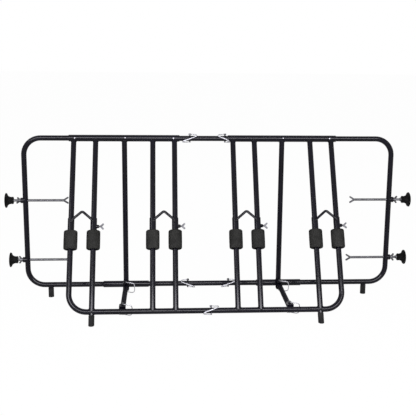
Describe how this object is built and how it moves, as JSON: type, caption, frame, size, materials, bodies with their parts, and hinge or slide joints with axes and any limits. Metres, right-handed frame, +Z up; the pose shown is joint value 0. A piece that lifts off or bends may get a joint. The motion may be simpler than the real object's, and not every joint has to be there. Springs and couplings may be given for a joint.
{
  "type": "truck bed bike rack",
  "caption": "Telescoping two-frame rack that clamps between the walls of a truck bed and holds upright bicycles by the front wheel, between padded uprights.",
  "frame": {"origin": "on the floor, in the middle of the rack's footprint", "axes": "+X to the rack's right as seen from its front, along its width; +Y to its back; +Z up"},
  "size_m": [1.564, 0.3658, 0.6384],
  "materials": {
    "black_frame": "gloss black powder coat",
    "zinc_hardware": "bright zinc plate",
    "black_rubber": "matte black rubber",
    "grey_foam": "soft closed-cell foam"
  },
  "bodies": {
    "rear_left": {"rear_frame_left": "black_frame", "screw_bosses_left": "black_frame", "post_left": "black_frame", "rear_foot_left": "black_rubber"},
    "centre_tubes": {"top_centre_tube": "black_frame", "bottom_centre_tube": "black_frame"},
    "rear_right": {"rear_frame_right": "black_frame", "screw_bosses_right": "black_frame", "post_right": "black_frame", "rear_foot_right": "black_rubber"},
    "front_left": {"front_frame_left": "black_frame", "front_foot_left": "black_rubber"},
    "front_right": {"front_frame_right": "black_frame", "front_foot_right": "black_rubber"},
    "strut_left": {"strut_left": "black_frame"},
    "strut_right": {"strut_right": "black_frame"},
    "wheel_clamp_1": {"wheel_clamp_1": "black_frame", "foam_rollers_1": "grey_foam"},
    "wing_bolt_1": {"wing_bolt_1": "zinc_hardware"},
    "wheel_clamp_2": {"wheel_clamp_2": "black_frame", "foam_rollers_2": "grey_foam"},
    "wing_bolt_2": {"wing_bolt_2": "zinc_hardware"},
    "wheel_clamp_3": {"wheel_clamp_3": "black_frame", "foam_rollers_3": "grey_foam"},
    "wing_bolt_3": {"wing_bolt_3": "zinc_hardware"},
    "wheel_clamp_4": {"wheel_clamp_4": "black_frame", "foam_rollers_4": "grey_foam"},
    "wing_bolt_4": {"wing_bolt_4": "zinc_hardware"},
    "cup_lower_left": {"cup_foot_lower_left": "black_rubber"},
    "screw_lower_left": {"clamp_screw_lower_left": "zinc_hardware"},
    "nut_lower_left": {"wing_nut_lower_left": "zinc_hardware"},
    "cup_upper_left": {"cup_foot_upper_left": "black_rubber"},
    "screw_upper_left": {"clamp_screw_upper_left": "zinc_hardware"},
    "nut_upper_left": {"wing_nut_upper_left": "zinc_hardware"},
    "cup_lower_right": {"cup_foot_lower_right": "black_rubber"},
    "screw_lower_right": {"clamp_screw_lower_right": "zinc_hardware"},
    "nut_lower_right": {"wing_nut_lower_right": "zinc_hardware"},
    "cup_upper_right": {"cup_foot_upper_right": "black_rubber"},
    "screw_upper_right": {"clamp_screw_upper_right": "zinc_hardware"},
    "nut_upper_right": {"wing_nut_upper_right": "zinc_hardware"},
    "pin_top_left": {"rail_pin_top_left": "zinc_hardware"},
    "bail_top_left": {"pin_bail_top_left": "zinc_hardware"},
    "pin_top_right": {"rail_pin_top_right": "zinc_hardware"},
    "bail_top_right": {"pin_bail_top_right": "zinc_hardware"},
    "pin_bottom_left": {"rail_pin_bottom_left": "zinc_hardware"},
    "bail_bottom_left": {"pin_bail_bottom_left": "zinc_hardware"},
    "pin_bottom_right": {"rail_pin_bottom_right": "zinc_hardware"},
    "bail_bottom_right": {"pin_bail_bottom_right": "zinc_hardware"},
    "pin_front": {"rail_pin_front": "zinc_hardware"},
    "bail_front": {"pin_bail_front": "zinc_hardware"},
    "strut_pin_rear_left": {"strut_pin_rear_left": "zinc_hardware"},
    "ring_rear_left": {"strut_ring_rear_left": "zinc_hardware"},
    "strut_pin_front_left": {"strut_pin_front_left": "zinc_hardware"},
    "ring_front_left": {"strut_ring_front_left": "zinc_hardware"},
    "strut_pin_rear_right": {"strut_pin_rear_right": "zinc_hardware"},
    "ring_rear_right": {"strut_ring_rear_right": "zinc_hardware"},
    "strut_pin_front_right": {"strut_pin_front_right": "zinc_hardware"},
    "ring_front_right": {"strut_ring_front_right": "zinc_hardware"}
  },
  "joints": [
    {"name": "left_width", "type": "slide", "parent": "rear_left", "child": "centre_tubes", "axis": [1, 0, 0], "range_m": [0, 0.0508]},
    {"name": "right_width", "type": "slide", "parent": "centre_tubes", "child": "rear_right", "axis": [1, 0, 0], "range_m": [0, 0.0508]},
    {"name": "fold", "type": "hinge", "parent": "rear_left", "child": "front_left", "pos_m": [-0.029, 0.16269, 0.61965], "axis": [-1, 0, 0], "range_deg": [0, 153.7]},
    {"name": "fold_right", "type": "hinge", "parent": "rear_right", "child": "front_right", "pos_m": [-0.029, 0.16269, 0.61965], "axis": [-1, 0, 0], "range_deg": [0, 153.7]},
    {"name": "strut_turn_left", "type": "hinge", "parent": "front_left", "child": "strut_left", "pos_m": [-0.3299, -0.11932, 0.04265], "axis": [0, 0.0204, -0.9998], "range_deg": [0, 90]},
    {"name": "strut_turn_right", "type": "hinge", "parent": "front_right", "child": "strut_right", "pos_m": [0.2719, -0.11932, 0.04265], "axis": [0, -0.0204, 0.9998], "range_deg": [0, 90]},
    {"name": "clamp_slide_1", "type": "slide", "parent": "front_left", "child": "wheel_clamp_1", "axis": [0, 0.4741, 0.8805], "range_m": [-0.09, 0.1]},
    {"name": "wing_bolt_turn_1", "type": "hinge", "parent": "wheel_clamp_1", "child": "wing_bolt_1", "pos_m": [-0.4374, -0.00087, 0.31589], "axis": [1, 0, 0], "range_deg": [0, 1080]},
    {"name": "clamp_slide_2", "type": "slide", "parent": "front_left", "child": "wheel_clamp_2", "axis": [0, 0.4741, 0.8805], "range_m": [-0.09, 0.1]},
    {"name": "wing_bolt_turn_2", "type": "hinge", "parent": "wheel_clamp_2", "child": "wing_bolt_2", "pos_m": [-0.1404, -0.00087, 0.31589], "axis": [1, 0, 0], "range_deg": [0, 1080]},
    {"name": "clamp_slide_3", "type": "slide", "parent": "front_right", "child": "wheel_clamp_3", "axis": [0, 0.4741, 0.8805], "range_m": [-0.09, 0.1]},
    {"name": "wing_bolt_turn_3", "type": "hinge", "parent": "wheel_clamp_3", "child": "wing_bolt_3", "pos_m": [0.1644, -0.00087, 0.31589], "axis": [1, 0, 0], "range_deg": [0, 1080]},
    {"name": "clamp_slide_4", "type": "slide", "parent": "front_right", "child": "wheel_clamp_4", "axis": [0, 0.4741, 0.8805], "range_m": [-0.09, 0.1]},
    {"name": "wing_bolt_turn_4", "type": "hinge", "parent": "wheel_clamp_4", "child": "wing_bolt_4", "pos_m": [0.4614, -0.00087, 0.31589], "axis": [1, 0, 0], "range_deg": [0, 1080]},
    {"name": "cup_travel_lower_left", "type": "slide", "parent": "rear_left", "child": "cup_lower_left", "axis": [-1, 0, 0], "range_m": [0, 0.0635]},
    {"name": "screw_turn_lower_left", "type": "hinge", "parent": "cup_lower_left", "child": "screw_lower_left", "pos_m": [-0.774, 0.14625, 0.14894], "axis": [-1, 0, 0], "range_deg": [0, 14400]},
    {"name": "wing_nut_turn_lower_left", "type": "hinge", "parent": "rear_left", "child": "nut_lower_left", "pos_m": [-0.708, 0.14625, 0.14894], "axis": [-1, 0, 0], "range_deg": [-1440, 1440]},
    {"name": "cup_travel_upper_left", "type": "slide", "parent": "rear_left", "child": "cup_upper_left", "axis": [-1, 0, 0], "range_m": [0, 0.0635]},
    {"name": "screw_turn_upper_left", "type": "hinge", "parent": "cup_upper_left", "child": "screw_upper_left", "pos_m": [-0.782, 0.15438, 0.3818], "axis": [-1, 0, 0], "range_deg": [0, 14400]},
    {"name": "wing_nut_turn_upper_left", "type": "hinge", "parent": "rear_left", "child": "nut_upper_left", "pos_m": [-0.708, 0.15438, 0.3818], "axis": [-1, 0, 0], "range_deg": [-1440, 1440]},
    {"name": "cup_travel_lower_right", "type": "slide", "parent": "rear_right", "child": "cup_lower_right", "axis": [1, 0, 0], "range_m": [0, 0.0635]},
    {"name": "screw_turn_lower_right", "type": "hinge", "parent": "cup_lower_right", "child": "screw_lower_right", "pos_m": [0.777, 0.14625, 0.14894], "axis": [1, 0, 0], "range_deg": [0, 14400]},
    {"name": "wing_nut_turn_lower_right", "type": "hinge", "parent": "rear_right", "child": "nut_lower_right", "pos_m": [0.702, 0.14625, 0.14894], "axis": [1, 0, 0], "range_deg": [-1440, 1440]},
    {"name": "cup_travel_upper_right", "type": "slide", "parent": "rear_right", "child": "cup_upper_right", "axis": [1, 0, 0], "range_m": [0, 0.0635]},
    {"name": "screw_turn_upper_right", "type": "hinge", "parent": "cup_upper_right", "child": "screw_upper_right", "pos_m": [0.782, 0.15438, 0.3818], "axis": [1, 0, 0], "range_deg": [0, 14400]},
    {"name": "wing_nut_turn_upper_right", "type": "hinge", "parent": "rear_right", "child": "nut_upper_right", "pos_m": [0.702, 0.15438, 0.3818], "axis": [1, 0, 0], "range_deg": [-1440, 1440]},
    {"name": "pin_top_left_pull", "type": "slide", "parent": "rear_left", "child": "pin_top_left", "axis": [0, 0.0349, 0.9994], "range_m": [0, 0.031]},
    {"name": "pin_top_left_bail", "type": "hinge", "parent": "pin_top_left", "child": "bail_top_left", "pos_m": [-0.082, 0.16323, 0.63524], "axis": [-1, 0, 0], "range_deg": [0, 180]},
    {"name": "pin_top_right_pull", "type": "slide", "parent": "rear_right", "child": "pin_top_right", "axis": [0, 0.0349, 0.9994], "range_m": [0, 0.031]},
    {"name": "pin_top_right_bail", "type": "hinge", "parent": "pin_top_right", "child": "bail_top_right", "pos_m": [0.052, 0.16323, 0.63524], "axis": [-1, 0, 0], "range_deg": [0, 180]},
    {"name": "pin_bottom_left_pull", "type": "slide", "parent": "rear_left", "child": "pin_bottom_left", "axis": [0, 0.0349, 0.9994], "range_m": [0, 0.031]},
    {"name": "pin_bottom_left_bail", "type": "hinge", "parent": "pin_bottom_left", "child": "bail_bottom_left", "pos_m": [-0.088, 0.14327, 0.06359], "axis": [-1, 0, 0], "range_deg": [0, 180]},
    {"name": "pin_bottom_right_pull", "type": "slide", "parent": "rear_right", "child": "pin_bottom_right", "axis": [0, 0.0349, 0.9994], "range_m": [0, 0.031]},
    {"name": "pin_bottom_right_bail", "type": "hinge", "parent": "pin_bottom_right", "child": "bail_bottom_right", "pos_m": [0.072, 0.14327, 0.06359], "axis": [-1, 0, 0], "range_deg": [0, 180]},
    {"name": "pin_front_pull", "type": "slide", "parent": "front_right", "child": "pin_front", "axis": [0, 0.4741, 0.8805], "range_m": [0, 0.031]},
    {"name": "pin_front_bail", "type": "hinge", "parent": "pin_front", "child": "bail_front", "pos_m": [-0.015, -0.14092, 0.05579], "axis": [-1, 0, 0], "range_deg": [0, 180]},
    {"name": "strut_pin_rear_left_pull", "type": "slide", "parent": "rear_left", "child": "strut_pin_rear_left", "axis": [0, -0.0204, 0.9998], "range_m": [0, 0.034]},
    {"name": "strut_pin_rear_left_bail", "type": "hinge", "parent": "strut_pin_rear_left", "child": "ring_rear_left", "pos_m": [-0.3299, 0.11336, 0.06591], "axis": [0, -0.9998, -0.0204], "range_deg": [0, 180]},
    {"name": "strut_pin_front_left_pull", "type": "slide", "parent": "front_left", "child": "strut_pin_front_left", "axis": [0, -0.0204, 0.9998], "range_m": [0, 0.034]},
    {"name": "strut_pin_front_left_bail", "type": "hinge", "parent": "strut_pin_front_left", "child": "ring_front_left", "pos_m": [-0.3299, -0.11969, 0.06115], "axis": [0, -0.9998, -0.0204], "range_deg": [0, 180]},
    {"name": "strut_pin_rear_right_pull", "type": "slide", "parent": "rear_right", "child": "strut_pin_rear_right", "axis": [0, -0.0204, 0.9998], "range_m": [0, 0.034]},
    {"name": "strut_pin_rear_right_bail", "type": "hinge", "parent": "strut_pin_rear_right", "child": "ring_rear_right", "pos_m": [0.2719, 0.11336, 0.06591], "axis": [0, -0.9998, -0.0204], "range_deg": [0, 180]},
    {"name": "strut_pin_front_right_pull", "type": "slide", "parent": "front_right", "child": "strut_pin_front_right", "axis": [0, -0.0204, 0.9998], "range_m": [0, 0.034]},
    {"name": "strut_pin_front_right_bail", "type": "hinge", "parent": "strut_pin_front_right", "child": "ring_front_right", "pos_m": [0.2719, -0.11969, 0.06115], "axis": [0, -0.9998, -0.0204], "range_deg": [0, 180]}
  ],
  "couplings": [
    {"joint": "fold_right", "follows": "fold", "ratio": 1},
    {"joint": "strut_turn_left", "follows": "fold", "ratio": 0.5855},
    {"joint": "strut_turn_right", "follows": "fold", "ratio": 0.5855},
    {"joint": "screw_turn_lower_left", "follows": "cup_travel_lower_left", "rad_per_m": 3957.9},
    {"joint": "screw_turn_upper_left", "follows": "cup_travel_upper_left", "rad_per_m": 3957.9},
    {"joint": "screw_turn_lower_right", "follows": "cup_travel_lower_right", "rad_per_m": 3957.9},
    {"joint": "screw_turn_upper_right", "follows": "cup_travel_upper_right", "rad_per_m": 3957.9},
    {"joint": "pin_top_left_bail", "follows": "pin_top_left_pull", "rad_per_m": 101.34},
    {"joint": "pin_top_right_bail", "follows": "pin_top_right_pull", "rad_per_m": 101.34},
    {"joint": "pin_bottom_left_bail", "follows": "pin_bottom_left_pull", "rad_per_m": 101.34},
    {"joint": "pin_bottom_right_bail", "follows": "pin_bottom_right_pull", "rad_per_m": 101.34},
    {"joint": "pin_front_bail", "follows": "pin_front_pull", "rad_per_m": 101.34},
    {"joint": "strut_pin_rear_left_bail", "follows": "strut_pin_rear_left_pull", "rad_per_m": 92.399},
    {"joint": "strut_pin_front_left_bail", "follows": "strut_pin_front_left_pull", "rad_per_m": 92.399},
    {"joint": "strut_pin_rear_right_bail", "follows": "strut_pin_rear_right_pull", "rad_per_m": 92.399},
    {"joint": "strut_pin_front_right_bail", "follows": "strut_pin_front_right_pull", "rad_per_m": 92.399}
  ]
}
